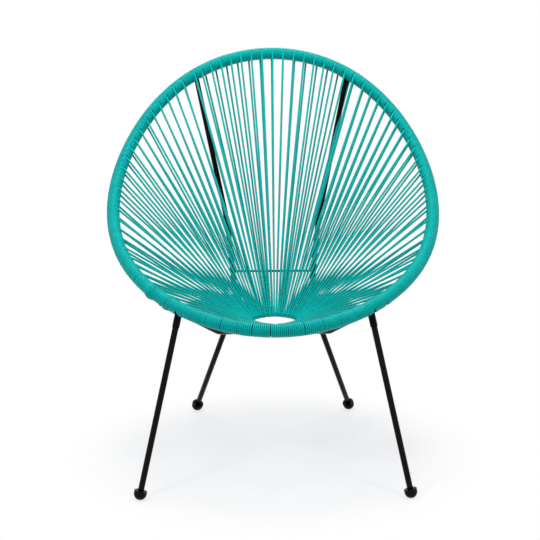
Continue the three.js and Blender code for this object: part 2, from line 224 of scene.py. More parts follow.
def ring_angle(k, slots=ring_slots):
    if k > TOP_STATION:
        return 2 * math.pi - slots(STATIONS - k, LEFT_SEAM) * SLOT_ANGLE
    if k < 0:
        return -slots(-k, LEFT_SEAM) * SLOT_ANGLE
    return slots(k, RIGHT_SEAM) * SLOT_ANGLE


def on_ring(angle):
    outward = np.stack([np.sin(angle), -np.cos(angle), 0 * angle], -1)
    return RING_CENTRE + RING_RADIUS * outward


STATION_TURNS = np.array([ring_angle(k) for k in NUMBERS])
print("one slot takes", round(math.degrees(SLOT_ANGLE), 2), "degrees of the ring")

# %% [markdown]
# ## One turn of cord on the hoop
# A place on the winding is given by three numbers: how far along the hoop it is, how far round the
# tube, and how far out. The angle round the tube starts at the side where a strand leaves for the
# ring (the sitter's side), then goes to the inside of the hoop, its back, and its outside. That
# side turns slowly as the hoop goes round, because it stands square to the pull of the strands.

# %% From winding numbers to a point
def pull_frame(arc):
    at, tangent, behind = on_hoop(arc)
    pull = unit(on_ring(np.interp(arc, STATION_ARCS, STATION_TURNS)) - at)
    face = np.cross(tangent, pull)
    face = unit(-np.sign(dot(face, behind)) * face)
    inward = unit(pull - dot(pull, tangent) * tangent)
    return at, tangent, behind, face, inward, dot(pull, tangent)[..., 0]


def wound_point(arc, turn, out):
    at, _, _, face, inward, _ = pull_frame(arc)
    return at + out[..., None] * (face * np.cos(turn)[..., None] + inward * np.sin(turn)[..., None])


def ease(share):
    share = np.clip(share, 0, 1)
    return share * share * (3 - 2 * share)


print("at the front the cord pulls towards", pull_frame(np.array(0.0))[4].round(2))

# %% [markdown]
# ## A group of turns between two stations
# Between one station and the next the cord makes some whole turns and a half: it comes back from the
# ring behind the hoop and leaves again in front. So it passes the hoop's outside once more often
# than its inside. Its turns lie straight and close across the back, the outside and the face, and
# slant across the inside to the next lane. At some stations along the front a thin dark line stays
# open between two groups.

# %% Lanes of a group
CORD = 1.88 * mm
WOUND = 12.05 * mm
POINTS_PER_TURN = 24
LANE = 3.84 * mm
OPEN_LINES = {
    -10: 1.4, -7: 0.8, -6: 0.7, -4: 0.5, -3: 1.2, -2: 0.6, -1: 1.3,
    0: 1.4, 1: 0.3, 2: 1.2, 3: 0.7, 4: 0.6, 5: 0.3, 6: 0.9,
}
CLOSED_LINE, CLOSED_SWING = 0.1, 0.25
CLOSED_PACE, CLOSED_START = 2.4, 0.6


def open_line(k):
    """Width of the dark line at a station: clear along the front, hardly any elsewhere."""
    k = k - STATIONS if k > TOP_STATION else k
    if k in OPEN_LINES:
        return OPEN_LINES[k] * mm
    return (CLOSED_LINE + CLOSED_SWING * math.sin(CLOSED_PACE * k + CLOSED_START) ** 2) * mm


def lane_share(turn, passes):
    """How far along its group the cord is, and how much wider its inner passes may be."""
    lane = np.floor((turn - math.pi) / (2 * math.pi) + 1e-9)
    slant = np.clip((turn - 2 * math.pi * (lane + 1)) / math.pi, 0, 1)
    even = (lane + 0.5) / (passes - 1) - 0.5
    step = ease(slant) + even * np.sin(math.pi * slant)
    return (lane + 0.5 + step) / passes, np.sin(math.pi * slant) / (passes - 1)


print("the winding is", round(2 * (WOUND + CORD) / mm, 1), "mm across")

# %% [markdown]
# ## Turns beside a weld
# The cord can't pass where a rail or a leg socket is welded to the hoop. Its turns are pushed to
# both sides of the weld there, and crowd a little over one another, while on the face they lie as
# everywhere else. The left edge of the seat, seen from the front, also has two swellings on its
# underside, where ends of cord are tucked in under the winding.

# %% Pushed turns
SOCKET_ARC = 218 * mm
RAIL_ARC = 258 * mm
SOCKET_WELD_HALF, RAIL_WELD_HALF = 8.2 * mm, 6.6 * mm
WELD_PLACES = (
    (WELD_TOP, RAIL_WELD_HALF), (RAIL_ARC, RAIL_WELD_HALF), (SOCKET_ARC, SOCKET_WELD_HALF),
)
CROWDED = 26 * mm
CROWDED_RISE = 0.9 * mm
PUSHED_REACH, PUSHED_FADE = math.radians(110), math.radians(70)


def across_hoop(arc, direction):
    """The angle round the hoop that a direction points to."""
    _, _, _, face, inward, _ = pull_frame(np.array(arc))
    return math.atan2(float(direction @ inward), float(direction @ face)) % (2 * math.pi)


def welds():
    """Place along the hoop, angle round it and half width of each weld."""
    found = []
    for side in (1, -1):
        for distance, half in WELD_PLACES:
            arc = distance if side > 0 else HOOP_LENGTH - distance
            behind = on_hoop(np.array(arc))[2]
            found.append((arc, across_hoop(arc, behind), half))
    return found


WELDS = welds()


def pushed_aside(arc, turn, out, lane_arc, free):
    for weld_arc, weld_turn, half in WELDS:
        away = lane_arc - weld_arc
        share = np.clip(1 - np.abs(away) / CROWDED, 0, 1)
        across = np.abs((turn - weld_turn + math.pi) % (2 * math.pi) - math.pi)
        near = ease((PUSHED_REACH - across) / PUSHED_FADE) * free
        arc = arc + np.where(away < 0, -1, 1) * half * share * near
        out = out + CROWDED_RISE * share * near
    return arc, out


print("welds on the hoop:", len(WELDS))

# %% Swollen turns
# Each swelling has a middle, a rise and a half length.
SWELLINGS = (
    (HOOP_LENGTH - 305 * mm, 3.6 * mm, 18 * mm),
    (HOOP_LENGTH - 255 * mm, 2.4 * mm, 20 * mm),
)
UNDER_SHARE, OUTSIDE_SHARE, BEHIND_SHARE = 0.5, 0.9, 0.35


def swollen(arc, turn, out):
    """Lifts the turns of a swelling, on the hoop's outside and back only."""
    for middle, rise, half in SWELLINGS:
        along = ease(1 - np.abs(arc - middle) / half)
        under = ease(UNDER_SHARE - OUTSIDE_SHARE * np.sin(turn) - BEHIND_SHARE * np.cos(turn))
        out = out + rise * along * under
    return out


print("swellings:", len(SWELLINGS))

# %% [markdown]
# ## How strands leave and arrive
# A strand leaves its station on the face, and where it pulls at a slant the last turn bends after it
# and stands a little proud. Coming back, it arrives behind the hoop a few millimetres beside its
# station and is led over the turns that are there already. Some pairs lie one right behind the
# other. The turns are as wide as their lanes, and a tenth more past the front, so that no gap opens
# where they slant.

# %% Where a strand arrives
SHIFT_STATIONS, REAR_SHIFTS = (8, 12, 16, 19, 26, 32), (3, 5, 12, 16.5, 4.5, -2.5)
TOP_REAR_SHIFT = 2.3 * mm
# Millimetres that the rear strand moves up to lie behind the front one.
TIGHT_PAIRS = {48: 8, 49: 9, 50: 8, 51: 8, 52: 8, 53: 8, 55: 8, 56: 8}
SPLIT_PAIRS = range(17, 24)


def rear_shift(k):
    """How far along the hoop from its station a strand arrives behind the hoop."""
    side, up = (1, k) if k <= TOP_STATION else (-1, STATIONS - k)
    if up > TOP_LIMIT:
        return -TOP_REAR_SHIFT * (TOP_STATION - up) * side
    if up < FRONT_LIMIT:
        return None
    shift = np.interp(up, SHIFT_STATIONS, REAR_SHIFTS) + TIGHT_PAIRS.get(k, 0)
    if k in SPLIT_PAIRS:
        shift -= SHIFTED_STATIONS[k]
    return shift * mm * side


print("at station 16 a strand arrives", round(rear_shift(16) / mm, 1), "mm further on")

# %% How a group starts and ends
LEAVING_PROUD = 0.8 * mm
LIFT_TILT = math.radians(15)
LIFT_REACH, BEND_REACH, BEND_SHARE = 1.0, 0.3, 0.15
ARRIVAL_REACH, ARRIVAL_FADE, FULL_ACROSS = 0.9, 0.6, 9 * mm
PROUD_STATIONS, ARRIVING_PROUD = (8, 16), (0.4, 3)


def bent_ends(k, arc, out, gone, to_go):
    """The first and the last turn bend towards their strand, and the last one stands proud."""
    for left, station, proud in ((gone, k, 0), (to_go, k + 1, LEAVING_PROUD)):
        tilt = math.asin(float(pull_frame(np.array(station_arc(station)))[5]))
        lift = proud * (1 - math.exp(-abs(tilt) / LIFT_TILT))
        out = out + lift * ease(1 - left / LIFT_REACH)
        bend = np.clip(1 - left / BEND_REACH, 0, 1) ** 2
        arc = arc + BEND_SHARE * (WOUND + lift) * math.tan(tilt) * bend
    return arc, out


def arriving(k, arc, out, gone):
    """The cord comes in beside its station, over the turns beside it."""
    shift = rear_shift(k)
    if shift is None:
        return arc, out
    across = station_arc(k) + shift - arc[0]
    proud = np.interp(min(k, STATIONS - k), PROUD_STATIONS, ARRIVING_PROUD) * mm
    over = ease((ARRIVAL_REACH - gone) / ARRIVAL_FADE)
    return (
        arc + across * (1 - ease(gone / ARRIVAL_REACH)),
        out + proud * min(1, abs(across) / FULL_ACROSS) * over,
    )


print("a leaving turn stands up to", LEAVING_PROUD / mm, "mm proud")

# %% One group of turns
PLAIN_END, PAST_FRONT_WIDTH, ROUND_REACH = 12, 1.1, 1.5


def group(k):
    """Points of the cord from station k, behind the hoop, to station k + 1, in front of it."""
    first = station_arc(k) + open_line(k) / 2
    last = station_arc(k + 1) - open_line(k + 1) / 2
    passes = round((last - first) / LANE)
    count = int((passes - 0.5) * POINTS_PER_TURN)
    turn = np.linspace(math.pi, 2 * math.pi * passes, count + 1)
    share, wider = lane_share(turn, passes)
    gone, to_go = turn - turn[0], turn[-1] - turn
    arc, out = first + (last - first) * share, np.full_like(turn, WOUND)
    arc, out = bent_ends(k, arc, out, gone, to_go)
    lane_arc = first + (last - first) * (np.floor(turn / (2 * math.pi)) + 0.5) / passes
    free = ease(np.minimum(gone, to_go) / math.pi)
    arc, out = pushed_aside(arc, turn, out, lane_arc, free)
    out = swollen(arc, turn, out)
    arc, out = arriving(k, arc, out, gone)
    more = 1 if min(k + 1, STATIONS - k) < PLAIN_END else PAST_FRONT_WIDTH
    width = more * (last - first) / passes / 2 / CORD * (1 + wider)
    thick = 1 + (width - 1) * ease(np.minimum(gone, to_go) / ROUND_REACH)
    return np.hstack([wound_point(arc, turn, out), thick[:, None]])


points = sum(len(group(k)) for k in range(FIRST_STATION, LAST_STATION + 1))
print("turns of cord:", points // POINTS_PER_TURN)

# %% [markdown]
# ## The rails' route
# Each side rail is one steel tube with three bends. It starts behind the top of the hoop, runs down
# behind the seat with a long lazy bend at the waist, turns forward at a tight heel under the seat,
# and ends under the hoop beside a front leg. Its corners are known, so each corner is rounded with
# the radius that a tube bender would use.

# %% Rounded corners
SIDES = {"left": -1, "right": 1}
TOP_END_BEHIND, FRONT_END_BEHIND = 9 * mm, 11 * mm
# The corners of the right rail, in millimetres; the left one is its mirror image.
WAIST, HEEL, TOE = (104, 157, 488.1), (76.4, 28, 263.4), (121, -66, 290.5)
RAIL_BENDS = (500 * mm, 45 * mm, 70 * mm)


def weld_spot(side, arc, behind_by):
    at, _, behind = on_hoop(np.array(side * arc))
    return at + behind_by * behind


def rail_corners(side):
    """Top end, waist, heel, toe and front end of a rail."""
    between = [np.array([side * x, y, z]) * mm for x, y, z in (WAIST, HEEL, TOE)]
    top_end = weld_spot(side, WELD_TOP, TOP_END_BEHIND)
    return [top_end, *between, weld_spot(side, RAIL_ARC, FRONT_END_BEHIND)]


def rounded(corners, radii, step=math.radians(3)):
    points = [corners[0]]
    for before, corner, after, radius in zip(corners, corners[1:], corners[2:], radii):
        a, b = unit(corner - before), unit(after - corner)
        turn = math.acos(float(np.clip(a @ b, -1, 1)))
        start = corner - a * radius * math.tan(turn / 2)
        centre = start + radius * unit(b - (b @ a) * a)
        for angle in np.linspace(0, turn, max(3, math.ceil(turn / step))):
            out = start - centre
            points.append(centre + out * math.cos(angle) + a * radius * math.sin(angle))
    return np.array(points + [corners[-1]])


rail_routes = {name: rounded(rail_corners(side), RAIL_BENDS) for name, side in SIDES.items()}
print("rail points", len(rail_routes["left"]))

# %% [markdown]
# ## A pair of strands
# At each station the cord runs straight from the hoop to the top of the small ring, makes half a
# turn round the ring's inner side, and runs back from its underside to the back of the hoop. It is
# pulled tight, so it needs no sag. The half turn slants a little, because the upper strands crowd
# together over the stub, and some half turns are slacker than others. Between the hoop and the ring
# the cord is drawn a fifth thicker than in the winding, where the turns are pressed together.

# %% Half turns and strands
ROD = 3 * mm
HOOK_GAP = 0.12 * mm
HOOK = ROD + CORD + HOOK_GAP
HOOK_POINTS, HOOK_THICKNESS = 15, 0.96
SLACK, SLACK_PACE = 0.8 * mm, 2.3
FREE = 1.22
STRAND_EASE = 10 * mm


def half_turn(k):
    angle = ring_angle(k)
    at = on_ring(np.array(angle))
    tangent = np.array([math.cos(angle), math.sin(angle), 0])
    pull = unit(at - on_hoop(np.array(station_arc(k)))[0])
    over = np.cross(pull, tangent)
    over = unit(over * np.sign(over[2]))
    inward = np.cross(tangent, over)
    inward = inward * np.sign(inward @ pull)
    turn = np.linspace(0, math.pi, HOOK_POINTS)[:, None]
    slanting = on_ring(angle + (ring_angle(k, upper_slots) - angle) * (1 - turn[:, 0] / math.pi))
    loose = SLACK * math.sin(SLACK_PACE * k) ** 2 * (1 - turn / math.pi)
    return slanting + (HOOK + loose) * (over * np.cos(turn) + inward * np.sin(turn))


def strand(start, end, near_start):
    """Two places on a straight strand, near the hoop and halfway, between which it is thickest."""
    near = STRAND_EASE / np.linalg.norm(end - start)
    shares = np.array([[near], [0.5]] if near_start else [[0.5], [1 - near]])
    return np.hstack([start + (end - start) * shares, [[FREE], [FREE]]])


print("a half turn has", len(half_turn(0)), "points")

# %% The way of the cord
def cord_path(first, last):
    """The cord's way, with its thickness, from half a group before one station to half after another."""
    before = group(first - 1 if first > FIRST_STATION else LAST_STATION)
    parts = [before[len(before) // 2:]]
    for k in range(first, last + 1):
        hook, after = half_turn(k), group(k)
        parts.append(strand(parts[-1][-1, :3], hook[0], True))
        parts.append(np.hstack([hook, np.full((len(hook), 1), HOOK_THICKNESS)]))
        parts.append(strand(hook[-1], after[0, :3], False))
        parts.append(after if k < last else after[: len(after) // 2 + 1])
    return np.concatenate(parts)


print("cord from station 7 to 11:", len(cord_path(7, 11)), "points")

# %% [markdown]
# ## From a path to a round bar
# A cord, a rod and a bent tube are all a round section that follows a path. A curve with a bevel
# does that: the path's points go into it, the bevel gives the thickness, and it is converted to a
# mesh, so that it can be shaded, cut and exported. The converter leaves the end caps loose, so
# doubled corners are merged.

# %% Helpers for round bars
def choose(piece):
    bpy.ops.object.select_all(action="DESELECT")
    piece.select_set(True)
    bpy.context.view_layer.objects.active = piece


def merge_corners(piece, distance=1e-6):
    choose(piece)
    bpy.ops.object.mode_set(mode="EDIT")
    bpy.ops.mesh.select_all(action="SELECT")
    bpy.ops.mesh.remove_doubles(threshold=distance)
    bpy.ops.mesh.normals_make_consistent(inside=False)
    bpy.ops.object.mode_set(mode="OBJECT")


def round_bar(name, points, radius, resolution=4, closed=False):
    curve = bpy.data.curves.new(name, "CURVE")
    curve.dimensions = "3D"
    curve.twist_mode = "MINIMUM"
    curve.bevel_depth = radius
    curve.bevel_resolution = resolution
    curve.use_fill_caps = not closed
    spline = curve.splines.new("POLY")
    spline.points.add(len(points) - 1)
    spline.points.foreach_set("co", np.hstack([points[:, :3], np.ones((len(points), 1))]).ravel())
    if points.shape[1] > 3:
        spline.points.foreach_set("radius", points[:, 3].copy())
    spline.use_cyclic_u = closed
    piece = bpy.data.objects.new(name, curve)
    bpy.context.scene.collection.objects.link(piece)
    choose(piece)
    bpy.ops.object.convert(target="MESH")
    merge_corners(piece)
    bpy.ops.object.shade_smooth()
    return piece


def take_place(piece, node):
    """The piece stands for a solid: it hangs from the root, and the solid is hidden."""
    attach(piece, "root")
    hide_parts(node)


print("helpers for round bars are ready")

# %% [markdown]
# ## How a finish varies
# No real surface has one colour and one gloss all over. Each finish here is one shader whose colour,
# roughness and bump follow noises of different sizes. The noises read object coordinates, so that a
# pattern doesn't stretch along the cord, or break where one of its lengths ends.

# %% Helpers for finishes
def new_finish(name):
    finish = bpy.data.materials.new(name)
    finish.use_nodes = True
    nodes, links = finish.node_tree.nodes, finish.node_tree.links
    shader = nodes["Principled BSDF"]
    place = nodes.new("ShaderNodeTexCoord")
    return finish, nodes, links, shader, place.outputs["Object"]


def speckle(nodes, links, place, scale, detail=2.0):
    noise = nodes.new("ShaderNodeTexNoise")
    noise.inputs["Scale"].default_value = scale
    noise.inputs["Detail"].default_value = detail
    links.new(place, noise.inputs["Vector"])
    return noise.outputs["Fac"]


NOISE_LOW, NOISE_HIGH = 0.3, 0.7


def spread(nodes, links, value, low, high):
    """Turns a noise value into a number between two limits."""
    spreader = nodes.new("ShaderNodeMapRange")
    spreader.inputs["From Min"].default_value = NOISE_LOW
    spreader.inputs["From Max"].default_value = NOISE_HIGH
    spreader.inputs["To Min"].default_value = low
    spreader.inputs["To Max"].default_value = high
    links.new(value, spreader.inputs["Value"])
    return spreader.outputs["Result"]


def two_colours(nodes, links, value, first, second):
    ramp = nodes.new("ShaderNodeValToRGB")
    ramp.color_ramp.elements[0].position = NOISE_LOW
    ramp.color_ramp.elements[1].position = NOISE_HIGH
    ramp.color_ramp.elements[0].color = (*first, 1)
    ramp.color_ramp.elements[1].color = (*second, 1)
    links.new(value, ramp.inputs["Fac"])
    return ramp.outputs["Color"]


def add_bump(nodes, links, shader, height, strength, depth):
    bump = nodes.new("ShaderNodeBump")
    bump.inputs["Strength"].default_value = strength
    bump.inputs["Distance"].default_value = depth
    links.new(height, bump.inputs["Height"])
    links.new(bump.outputs["Normal"], shader.inputs["Normal"])


print("helpers for finishes are ready")

# %% [markdown]
# ## The cord
# The cord is soft plastic, extruded smooth and glossy. Its turquoise is nearly even, with slightly
# lighter and darker lengths, and its gloss is broken by the faint lines of the extruder and by
# handling. Two noises give both, and a fine bump keeps highlights from being perfectly clean. The
# gloss is tinted, which keeps the lit side of the cord as green as the rest.

# %% Cord finish
def cord_finish():
    finish, nodes, links, shader, place = new_finish("turquoise_cord")
    tint = speckle(nodes, links, place, 28, 3)
    colour = two_colours(nodes, links, tint, (0.001, 0.375, 0.352), (0.002, 0.425, 0.4))
    links.new(colour, shader.inputs["Base Color"])
    gloss = spread(nodes, links, speckle(nodes, links, place, 90, 3), 0.22, 0.32)
    links.new(gloss, shader.inputs["Roughness"])
    add_bump(nodes, links, shader, speckle(nodes, links, place, 260), 0.05, 0.0002)
    shader.inputs["Specular IOR Level"].default_value = 0.3
    shader.inputs["Specular Tint"].default_value = (0.08, 1, 0.98, 1)
    return finish


turquoise = cord_finish()
print("made", turquoise.name)

# %% [markdown]
# ## Winding and lacing the cord
# The cord is made in sixteen lengths, one for each solid. Each length ends in the middle of a group
# of turns, exactly where the next one starts, so that it looks like the single cord that it is.

# %% Sixteen lengths of cord
CORD_RUNS = {
    "cord_front_1": (-6, -3), "cord_front_2": (-2, 2), "cord_front_3": (3, 6),
    "cord_right_1": (7, 11), "cord_right_2": (12, 15), "cord_right_3": (16, 19),
    "cord_right_4": (20, 25), "cord_right_5": (26, 32),
    "cord_back_1": (33, 37), "cord_back_2": (38, 42), "cord_back_3": (43, 47),
    "cord_left_5": (48, 54), "cord_left_4": (55, 60), "cord_left_3": (61, 64),
    "cord_left_2": (65, 68), "cord_left_1": (69, 73),
}
cord_faces = 0
for node, (first, last) in CORD_RUNS.items():
    piece = round_bar("laced_" + node, cord_path(first, last), CORD)
    piece.data.materials.append(turquoise)
    take_place(piece, node)
    cord_faces += len(piece.data.polygons)
print("cord faces:", cord_faces)

# %% [markdown]
# ## Black paint
# The steel is powder coated: a satin black skin with a very fine orange peel, which blurs reflections
# and scatters a soft grey streak along a tube. A small noise varies its gloss, and a finer one gives
# the peel as a bump.

# %% Paint finish
def paint_finish(name, low, high, shine):
    finish, nodes, links, shader, place = new_finish(name)
    tint = speckle(nodes, links, place, 60)
    colour = two_colours(nodes, links, tint, (0.0015, 0.0015, 0.002), (0.0035, 0.0035, 0.004))
    links.new(colour, shader.inputs["Base Color"])
    gloss = spread(nodes, links, speckle(nodes, links, place, 120, 3), low, high)
    links.new(gloss, shader.inputs["Roughness"])
    add_bump(nodes, links, shader, speckle(nodes, links, place, 1100, 1), 0.25, 0.0002)
    shader.inputs["Specular IOR Level"].default_value = shine
    return finish


frame_paint = paint_finish("black_frame_paint", 0.2, 0.3, 0.05)
leg_paint = paint_finish("black_leg_paint", 0.14, 0.22, 0.09)
print("made", frame_paint.name, leg_paint.name)

# %% [markdown]
# ## Hoop and ring
# Both are bent from bar and welded into a loop. The cord hides nearly all of them, but black shows
# in the open lines of the winding and on the ring between the strands. The hoop follows the same
# line as the cord. The ring is a plain torus, with a swelling where its two ends were butt-welded.

# %% Hoop tube and seat ring
HOOP_POINTS = 360
HOOP_RADIUS = 10 * mm
JOINT_SWELL, JOINT_HALF = 0.5 * mm, 3 * mm
hoop_line = on_hoop(np.linspace(0, HOOP_LENGTH, HOOP_POINTS + 1)[:-1])[0]
hoop = round_bar("hoop_steel", hoop_line, HOOP_RADIUS, 10, True)
hoop.data.materials.append(frame_paint)
take_place(hoop, "hoop_tube")

bpy.ops.object.select_all(action="DESELECT")
bpy.ops.mesh.primitive_torus_add(
    location=tuple(RING_CENTRE), major_radius=RING_RADIUS, minor_radius=ROD,
    major_segments=144, minor_segments=16,
)
ring = bpy.context.object
ring.name = "seat_ring_steel"
for corner in ring.data.vertices:
    away = abs(math.atan2(corner.co.x, corner.co.y)) * RING_RADIUS
    corner.co += corner.normal * JOINT_SWELL * max(0, 1 - away / JOINT_HALF)
bpy.ops.object.transform_apply(location=True, rotation=True, scale=True)
bpy.ops.object.shade_smooth()
ring.data.materials.append(frame_paint)
take_place(ring, "seat_ring")
print("hoop faces", len(hoop.data.polygons), "ring faces", len(ring.data.polygons))

# %% [markdown]
# ## Side rails
# The tube follows its rounded route. Where it meets the hoop its end is coped, cut hollow to fit
# the hoop's round, as a welder does with a hole saw. Here a bar of the hoop's size is taken out of
# it with a boolean modifier.

# %% Rails
RAIL_RADIUS = 6 * mm
TUBE_COPE = HOOP_RADIUS + 0.15 * mm
RAIL_COPE = RAIL_RADIUS + 0.15 * mm
CUTTER_HALF = 30 * mm


def bar_between(name, start, end, radius, sides=32):
    start, end = Vector(start), Vector(end)
    axis = end - start
    bpy.ops.object.select_all(action="DESELECT")
    bpy.ops.mesh.primitive_cylinder_add(
        vertices=sides, radius=radius, depth=axis.length, location=(start + end) / 2,
        rotation=axis.to_track_quat("Z", "Y").to_euler(),
    )
    bar = bpy.context.object
    bar.name = name
    bpy.ops.object.transform_apply(location=True, rotation=True, scale=True)
    return bar


def cope(piece, at, direction, radius):
    """Cuts a piece to fit round a straight bar that passes through a point."""
    reach = np.asarray(direction) * CUTTER_HALF
    cutter = bar_between("cutter", at - reach, at + reach, radius, 48)
    choose(piece)
    cut = piece.modifiers.new("cope", "BOOLEAN")
    cut.operation = "DIFFERENCE"
    cut.solver = "EXACT"
    cut.object = cutter
    bpy.ops.object.modifier_apply(modifier=cut.name)
    bpy.data.objects.remove(cutter)


def smooth_by_angle(piece, degrees=35):
    choose(piece)
    bpy.ops.object.shade_smooth_by_angle(angle=math.radians(degrees))


for name, side in SIDES.items():
    rail = round_bar("rail_" + name, rail_routes[name], RAIL_RADIUS, 8)
    for arc in (WELD_TOP, RAIL_ARC):
        at, tangent, _ = on_hoop(np.array(side * arc))
        cope(rail, at, tangent, TUBE_COPE)
    smooth_by_angle(rail)
    rail.data.materials.append(frame_paint)
    take_place(rail, "side_rail_" + name)
    print(rail.name, len(rail.data.polygons), "faces")

# %% [markdown]
# ## Rods, stubs and weld beads
# A thin rod ties the rails together behind the sitter's lower back, and a stub at each side holds
# the ring down against the pull of eighty strands. Where rod meets tube a welder leaves a bead,
# which is made as a small ring with uneven swellings, and joined to the rod.

# %% Weld beads and joining
THIN_ROD = 2.5 * mm
BEAD_RADIUS, BEAD_THICK = 2.6 * mm, 1 * mm
BEAD_UNEVEN, BEAD_SWELLINGS = 0.18, 11


def weld_bead(centre, axis):
    axis = Vector(axis).normalized()
    bpy.ops.object.select_all(action="DESELECT")
    bpy.ops.mesh.primitive_torus_add(
        location=tuple(centre), rotation=axis.to_track_quat("Z", "Y").to_euler(),
        major_radius=BEAD_RADIUS, minor_radius=BEAD_THICK, major_segments=48, minor_segments=10,
    )
    bead = bpy.context.object
    for corner in bead.data.vertices:
        around = math.atan2(corner.co.y, corner.co.x)
        corner.co += corner.normal * BEAD_UNEVEN * BEAD_THICK * math.sin(BEAD_SWELLINGS * around)
    bpy.ops.object.transform_apply(location=True, rotation=True, scale=True)
    bpy.ops.object.shade_smooth()
    return bead


def joined(pieces):
    bpy.ops.object.select_all(action="DESELECT")
    for piece in pieces:
        piece.select_set(True)
    bpy.context.view_layer.objects.active = pieces[0]
    bpy.ops.object.join()
    return pieces[0]


def on_rail_back(side, height):
    """The point of the rail's straight back part at a height above the floor."""
    waist, heel = rail_corners(side)[1:3]
    share = (waist[2] - height) / (waist[2] - heel[2])
    return waist + (heel - waist) * share


print("weld beads", 2 * (BEAD_RADIUS + BEAD_THICK) / mm, "mm across")

# %% Cross rod and ring stubs
ROD_HEIGHT = 386.5 * mm
ROD_INSET, ROD_BEAD_INSET = 5.8 * mm, 6.3 * mm
left_end, right_end = (on_rail_back(side, ROD_HEIGHT) for side in (-1, 1))
across = unit(right_end - left_end)
inset = across * ROD_INSET
rod = bar_between("cross_rod", left_end + inset, right_end - inset, THIN_ROD, 24)
smooth_by_angle(rod)
rod = joined([rod, *(
    weld_bead(end + sign * across * ROD_BEAD_INSET, across)
    for end, sign in ((left_end, 1), (right_end, -1))
)])
rod.data.materials.clear()
rod.data.materials.append(frame_paint)
take_place(rod, "back_cross_rod")

STUB_SLOT = (STUB_STATION + SEAM_SPACE + STUB_SPACE / 2) * SLOT_ANGLE
STUB_SHARE = 0.6
RING_INSET, RAIL_INSET, STUB_BEAD_INSET = 3.1 * mm, 6 * mm, 6.4 * mm
for name, side in SIDES.items():
    heel, toe = rail_corners(side)[2:4]
    low = heel + (toe - heel) * STUB_SHARE
    high = on_ring(np.array(side * STUB_SLOT))
    down = unit(low - high)
    top, foot = high + down * RING_INSET, low - down * RAIL_INSET
    stub = bar_between("ring_stub_" + name + "_steel", top, foot, THIN_ROD, 24)
    smooth_by_angle(stub)
    stub = joined([stub, weld_bead(low - down * STUB_BEAD_INSET, down)])
    stub.data.materials.clear()
    stub.data.materials.append(frame_paint)
    take_place(stub, "ring_stub_" + name)
print("rod", len(rod.data.polygons), "faces")

# %% [markdown]
# ## Legs and their sockets
# A short thick socket is welded to the hoop or the rail, and the thinner leg is screwed to it, so a
# small step shows between them. Both start as a plain bar. The ends get a small bevel, because no
# painted edge is sharp, and a drilled hole for the stud, made by insetting the end face and
# extruding it inwards.

# %% Edit-mode helpers
FACING = 0.99


def pick_faces(piece, test):
    """Opens a piece in edit mode with the faces selected whose middle and normal pass a test."""
    choose(piece)
    bpy.context.tool_settings.mesh_select_mode = (False, False, True)
    mesh = piece.data
    for corner in mesh.vertices:
        corner.select = False
    for edge in mesh.edges:
        edge.select = False
    for face in mesh.polygons:
        face.select = test(np.array(face.center), np.array(face.normal))
    bpy.ops.object.mode_set(mode="EDIT")


def finish_end(piece, axis, bevel, wall, depth):
    """Bevels the end that faces along an axis, then drills it."""
    def faces_out(middle, normal):
        return normal @ axis > FACING
    pick_faces(piece, faces_out)
    bpy.ops.mesh.bevel(offset=bevel, segments=3, affect="EDGES")
    bpy.ops.object.mode_set(mode="OBJECT")
    pick_faces(piece, faces_out)
    bpy.ops.mesh.inset(thickness=wall - bevel)
    bpy.ops.mesh.extrude_region_move(TRANSFORM_OT_translate={"value": tuple(-axis * depth)})
    bpy.ops.object.mode_set(mode="OBJECT")


print("helpers for bevelled and drilled ends are ready")

# %% Leg lines
# Each has its root on the frame, the middle of its foot, and how much of it is in the frame.
FOOT_HEIGHT = 13.9 * mm
REAR_ROOT_HEIGHT = 326.7 * mm
LEG_LINES = {}
for name, side in SIDES.items():
    LEG_LINES["front_" + name] = (
        on_hoop(np.array(side * SOCKET_ARC))[0],
        np.array([side * 278.5 * mm, -302 * mm, FOOT_HEIGHT]),
        14 * mm,
    )
    LEG_LINES["rear_" + name] = (
        on_rail_back(side, REAR_ROOT_HEIGHT),
        np.array([side * 184.5 * mm, 258 * mm, FOOT_HEIGHT]),
        6 * mm,
    )
print("leg lines", list(LEG_LINES))

# %% Sockets and legs
SOCKET_RADIUS, SOCKET_LENGTH, SOCKET_START = 7.5 * mm, 26 * mm, 2 * mm
SOCKET_BEVEL, SOCKET_WALL, SOCKET_DEPTH = 0.9 * mm, 3.2 * mm, 18.3 * mm
LEG_RADIUS, LEG_BEVEL, LEG_WALL = 6.35 * mm, 0.5 * mm, 2.05 * mm
LEG_FOOT_DEPTH, LEG_STUD_DEPTH = 24 * mm, 24.3 * mm
LEG_GAP, LEG_END = 0.3 * mm, 3.3 * mm
for place, (root, foot, cover) in LEG_LINES.items():
    axis = unit(foot - root)
    side = SIDES[place.split("_")[1]]
    tip = root + axis * (cover + SOCKET_LENGTH)
    socket = bar_between("socket_" + place, root + axis * SOCKET_START, tip, SOCKET_RADIUS)
    finish_end(socket, axis, SOCKET_BEVEL, SOCKET_WALL, SOCKET_DEPTH)
    if place.startswith("front"):
        cope(socket, root, on_hoop(np.array(side * SOCKET_ARC))[1], TUBE_COPE)
    else:
        waist, heel = rail_corners(side)[1:3]
        cope(socket, root, unit(heel - waist), RAIL_COPE)
    smooth_by_angle(socket)
    socket.data.materials.clear()
    socket.data.materials.append(frame_paint)
    take_place(socket, "leg_socket_" + place)

    leg = bar_between("leg_steel_" + place, tip + axis * LEG_GAP, foot - axis * LEG_END, LEG_RADIUS)
    finish_end(leg, axis, LEG_BEVEL, LEG_WALL, LEG_FOOT_DEPTH)
    finish_end(leg, -axis, LEG_BEVEL, LEG_WALL, LEG_STUD_DEPTH)
    smooth_by_angle(leg)
    leg.data.materials.append(leg_paint)
    take_place(leg, "leg_" + place)
print("sockets and legs are in place")

